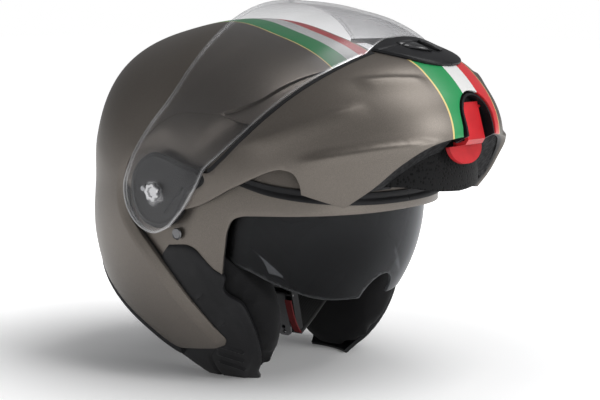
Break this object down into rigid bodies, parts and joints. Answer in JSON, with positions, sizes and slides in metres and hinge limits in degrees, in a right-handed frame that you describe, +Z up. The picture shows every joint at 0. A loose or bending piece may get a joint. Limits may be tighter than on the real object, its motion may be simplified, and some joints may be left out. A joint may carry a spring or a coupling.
{
  "type": "modular motorcycle helmet",
  "caption": "Flip-up helmet with its chin bar raised, clear visor shut on it, inner sun visor down, padded lining, side covers and chin strap.",
  "frame": {"origin": "middle of the bottom of the box, on the surface that the helmet stands on", "axes": "+Z up, -Y the way the wearer faces, +X the wearer's left; the chin bar turns about a line along X"},
  "size_m": [0.2602, 0.3246, 0.2817],
  "materials": {
    "shell": "satin matt paint",
    "chin_shell": "satin matt paint with a three-colour stripe",
    "black_plastic": "fine grain",
    "gloss_black": "gloss",
    "red_plastic": "satin",
    "rubber": "matt",
    "foam": "fine beads, black",
    "cloth": "soft knit",
    "webbing": "woven",
    "red_ribbon": "woven",
    "clear": "clear, polished",
    "smoke": "smoked, polished",
    "steel": "brushed"
  },
  "bodies": {
    "helmet": {"outer_shell": "shell", "eyeport_seal": "rubber", "foam_liner": "foam", "crown_pad": "cloth", "neck_roll": "cloth", "rear_edge_trim": "rubber", "cheek_pad_left": "cloth", "cheek_pad_right": "cloth", "side_cover_left": "black_plastic", "side_cover_right": "black_plastic", "striker_left": "steel", "striker_right": "steel", "hinge_plate_left": "steel", "hinge_plate_right": "steel", "pivot_screw_left": "steel", "pivot_screw_right": "steel", "sun_visor_pin_left": "steel", "sun_visor_pin_right": "steel", "slider_rail": "black_plastic", "strap_left": "webbing", "strap_right": "webbing", "strap_anchor_left": "steel", "strap_anchor_right": "steel", "strap_rivets": "steel", "buckle_body": "steel", "buckle_tongue": "black_plastic"},
    "chin_bar": {"chin_bar": "chin_shell", "chin_gasket": "rubber", "chin_foam": "foam", "chin_curtain": "cloth", "breath_deflector": "rubber", "vent_frame": "black_plastic", "lever_bezel": "black_plastic", "visor_base_left": "black_plastic", "visor_base_right": "black_plastic"},
    "visor": {"clear_visor": "clear"},
    "sun_visor": {"sun_visor": "smoke"},
    "sun_slider": {"slider_knob": "black_plastic"},
    "release_lever": {"release_lever": "red_plastic"},
    "vent_flap": {"vent_flap": "gloss_black"},
    "catch_left": {"latch_catch_left": "steel"},
    "catch_right": {"latch_catch_right": "steel"},
    "buckle_lever": {"buckle_lever": "black_plastic", "pull_ribbon": "red_ribbon"}
  },
  "joints": [
    {"name": "chin_bar_hinge", "type": "hinge", "parent": "helmet", "child": "chin_bar", "pos_m": [0, 0.03356, 0.144], "axis": [1, 0, 0], "range_deg": [0, 72]},
    {"name": "visor_hinge", "type": "hinge", "parent": "chin_bar", "child": "visor", "pos_m": [0, 0.03356, 0.144], "axis": [-1, 0, 0], "range_deg": [0, 38]},
    {"name": "sun_visor_hinge", "type": "hinge", "parent": "helmet", "child": "sun_visor", "pos_m": [0, 0.03356, 0.132], "axis": [-1, 0, 0], "range_deg": [0, 38]},
    {"name": "sun_slider_travel", "type": "slide", "parent": "helmet", "child": "sun_slider", "axis": [0, 0.8616, 0.5075], "range_m": [0, 0.0181]},
    {"name": "release_lever_hinge", "type": "hinge", "parent": "chin_bar", "child": "release_lever", "pos_m": [0, -0.15078, 0.20604], "axis": [1, 0, 0], "range_deg": [0, 4], "stiffness_Nm_per_rad": 0.8, "springref_deg": -8.59},
    {"name": "vent_flap_hinge", "type": "hinge", "parent": "chin_bar", "child": "vent_flap", "pos_m": [0, -0.101, 0.24966], "axis": [-1, 0, 0], "range_deg": [0, 14]},
    {"name": "catch_left_hinge", "type": "hinge", "parent": "chin_bar", "child": "catch_left", "pos_m": [0.1189, -0.01198, 0.15086], "axis": [-1, 0, 0], "range_deg": [0, 30]},
    {"name": "catch_right_hinge", "type": "hinge", "parent": "chin_bar", "child": "catch_right", "pos_m": [-0.1189, -0.01198, 0.15086], "axis": [-1, 0, 0], "range_deg": [0, 30]},
    {"name": "buckle_lever_hinge", "type": "hinge", "parent": "helmet", "child": "buckle_lever", "pos_m": [-0.01709, 0.00656, 0.05713], "axis": [0, 1, 0], "range_deg": [0, 65], "stiffness_Nm_per_rad": 0.05, "springref_deg": -5.73}
  ],
  "couplings": [
    {"joint": "catch_right_hinge", "follows": "catch_left_hinge", "ratio": 1},
    {"joint": "sun_slider_travel", "follows": "sun_visor_hinge", "m_per_rad": 0.02714}
  ]
}
